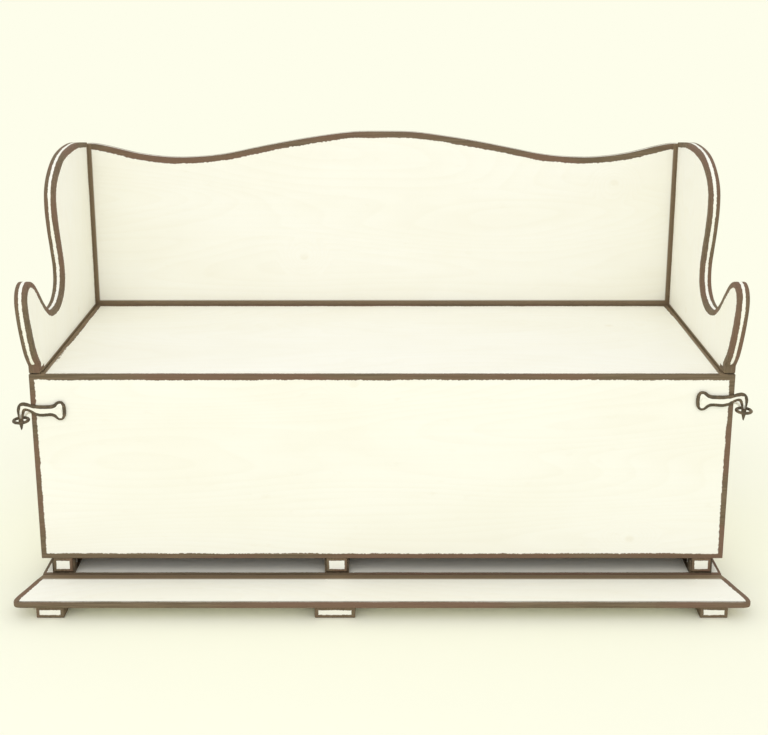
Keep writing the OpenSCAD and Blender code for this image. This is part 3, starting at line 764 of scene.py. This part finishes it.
box_side_finish = finish("bare pine box sides", along="Y", across="Z", paint=False)
for side in ("left", "right"):
    cheek = squared_board("box_side_" + side, "cheek_" + side)
    worn_edges(cheek, "X", rounding=PLAIN_ROUNDING, band=CHEEK_BAND)
    fit(cheek, box_side_finish, "bare_pine", "bed_box", "cheek_" + side)

# Battens of the box: three up the rear of the front board, whose painted feet stand out below
# it and turn on the hinge pins, and three under the seat, front to back. Bare nails hold them
# and the boards together.
FRONT_FOOT_DEPTH = 0.056

front_upright_finish = finish(
    "dark pine uprights with painted feet", along="Z", across="X",
    paint_ends=(FRONT_FACE + FRONT_FOOT_DEPTH, FOOT_PAINT_SOFTNESS), tones=(WORN_PALE, WORN_DARK))
seat_batten_finish = finish("bare pine seat battens", along="Y", across="Z", paint=False)
for side in SIDES:
    upright = sawn_board("front_upright_" + side, "front_batten_" + side, "X")
    worn_edges(upright, "X", rounding=PLAIN_ROUNDING, band=CHEEK_BAND)
    fit(upright, front_upright_finish, "bare_pine", "bed_box", "front_batten_" + side)
    batten = squared_board("seat_bearer_" + side, "seat_batten_" + side)
    worn_edges(batten, "X", rounding=PLAIN_ROUNDING, band=BEARER_BAND)
    fit(batten, seat_batten_finish, "bare_pine", "bed_box", "seat_batten_" + side)

for node in ("front_nails", "seat_nails", "cheek_nails"):
    hammered_nails("wrought_" + node, node, nail_iron, "bed_box")

# Hooks: flat iron forged to a flared palm at one end and a pointed curl at the other. Each
# turns on a stud through its palm and drops into the eye. They were painted over with the
# bench, and their points are rubbed bare.
HOOK_ROUNDING = 0.0006
HOOK_FIRST_BAND = 0.0003
HOOK_BAND = 0.0092
RUBBED_ABOVE_EYE = 0.002
ACROSS_SHARE = 0.4
BEND_SHARE = 0.6
SLACK_SHARE = 0.2
OPEN_BANDS = 2.5


def widen_band(hook, band):
    """Moves the inner edge of a hook's worn band inwards: by less than half way across, and
    never much further than beside it, so that the edge doesn't cross itself."""
    mesh = hook.data
    points = [vertex.co.xz for vertex in mesh.vertices]
    depths = [vertex.co.y for vertex in mesh.vertices]
    worn = [item.value > 0.5 for item in mesh.attributes["wear"].data]
    for level in (min(depths), max(depths)):
        on_face = [abs(depth - level) < SAME_LEVEL for depth in depths]
        ends = [edge.vertices for edge in mesh.edges if all(on_face[end] for end in edge.vertices)]
        rim = [(a, b) for a, b in ends if worn[a] and worn[b]]
        inward = {(a if worn[a] else b): (b if worn[a] else a) for a, b in ends if worn[a] != worn[b]}
        reach, mitre = {}, {}
        # The line across starts a little inside the rim, so that it doesn't meet the sides it
        # starts from. The smallest values keep a straight rim and a sharp point from dividing
        # by nothing.
        for outer, inner in inward.items():
            ahead = (points[inner] - points[outer]).normalized()
            near, far = points[outer] + ahead * band / 20, points[outer] + ahead
            hits = [intersect_line_line_2d(near, far, points[a], points[b]) for a, b in rim]
            across = min([(hit - points[outer]).length for hit in hits if hit] + [OPEN_BANDS * band])
            sides = [points[a + b - outer] - points[outer] for a, b in rim if outer in (a, b)]
            turn = sum((side.normalized() for side in sides), Vector((0, 0))).dot(ahead)
            radius = max(side.length for side in sides) / max(turn, 0.0001)
            mitre[outer] = 1 / math.sqrt(max(1 - turn * turn / 4, 0.01))
            reach[outer] = min(band, ACROSS_SHARE * across, BEND_SHARE * radius * mitre[outer])
        for _ in rim:
            for a, b in rim:
                if a in reach and b in reach:
                    slack = SLACK_SHARE * (points[a] - points[b]).length / (mitre[a] * mitre[b]) ** 4
                    reach[a] = min(reach[a], reach[b] + slack)
                    reach[b] = min(reach[b], reach[a] + slack)
        for outer, inner in inward.items():
            ahead = (points[inner] - points[outer]).normalized()
            mesh.vertices[inner].co.xz = points[outer] + ahead * reach[outer] * mitre[outer]


hook_finish = iron_finish("cream paint on the forged hooks", reach=0.15, ragged=0.3)
stud_finish = iron_finish("cream paint on the hook studs", reach=0.9, ragged=0.1)
for side in ("left", "right"):
    hook = sawn_board("forged_hook_" + side, "hook_" + side, "Y")
    worn_edges(hook, "Y", rounding=HOOK_ROUNDING, band=HOOK_FIRST_BAND, bare_sides=True, even=False)
    widen_band(hook, HOOK_BAND)
    rubbed_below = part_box("eye_" + side)[1][2] + RUBBED_ABOVE_EYE
    for vertex, wear in zip(hook.data.vertices, hook.data.attributes["wear"].data):
        if vertex.co.z < rubbed_below:
            wear.value = 1.0
    fit(hook, hook_finish, "wrought_iron", side + "_hook", "hook_" + side)
    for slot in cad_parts["hook_stud_" + side].material_slots:
        slot.material = stud_finish

# The ground: a plain pale floor that fades into the paper colour all round, with the soft
# even light of an overcast sky and one broad lamp above and in front.
PAPER = tone(254, 254, 235)
FLOOR_HALF = 30
SHADOW_FADE = (1.0, 1.9)

bpy.ops.object.select_all(action="DESELECT")
bpy.ops.mesh.primitive_plane_add(size=2 * FLOOR_HALF)
ground = bpy.context.object
ground.name = "plain_floor"
paper = bpy.data.materials.new("pale floor")
paper.use_nodes = True
tree = paper.node_tree
tree.nodes.remove(tree.nodes["Principled BSDF"])
here = place(tree, "TexCoord").outputs["Object"]
away = place(tree, "VectorMath", {0: here}, operation="LENGTH").outputs["Value"]
rays = place(tree, "LightPath").outputs
seen = sum_of(tree, "MAXIMUM", rays["Is Camera Ray"], rays["Is Glossy Ray"])
faded = sum_of(tree, "MULTIPLY", step_of(tree, away, *SHADOW_FADE), seen)
matt = place(tree, "BsdfDiffuse", {"Color": PAPER})
plain = place(tree, "Emission", {"Color": PAPER, "Strength": 1.0})
cover = place(tree, "MixShader", {0: faded, 1: matt.outputs[0], 2: plain.outputs[0]})
tree.links.new(cover.outputs[0], tree.nodes["Material Output"].inputs["Surface"])
ground.data.materials.append(paper)

SKY_LEVEL = 0.945
world = bpy.data.worlds.new("overcast")
bpy.context.scene.world = world
world.use_nodes = True
tree = world.node_tree
tree.nodes.clear()
rays = place(tree, "LightPath").outputs
seen = sum_of(tree, "MAXIMUM", rays["Is Camera Ray"], rays["Is Glossy Ray"])
seen = sum_of(tree, "MAXIMUM", seen, rays["Is Transmission Ray"])
sky = place(tree, "Background", {"Color": (1, 1, 1, 1), "Strength": SKY_LEVEL})
shown = place(tree, "Background", {"Color": PAPER, "Strength": 1.0})
either = place(tree, "MixShader", {0: seen, 1: sky.outputs[0], 2: shown.outputs[0]})
end = place(tree, "OutputWorld")
tree.links.new(either.outputs[0], end.inputs["Surface"])

LAMP_PLACE = Vector((-0.8, -3.4, 3.6))
LAMP_AIM = Vector((0, 0, 0.5))
LAMP_SIZE = 3.6
LAMP_POWER = 24
bpy.ops.object.light_add(type="AREA", location=LAMP_PLACE)
lamp = bpy.context.object
lamp.name = "broad_lamp"
lamp.data.size = LAMP_SIZE
lamp.data.energy = LAMP_POWER
lamp.rotation_euler = (LAMP_AIM - LAMP_PLACE).to_track_quat("-Z", "Y").to_euler()

bpy.context.scene.view_settings.view_transform = "Standard"
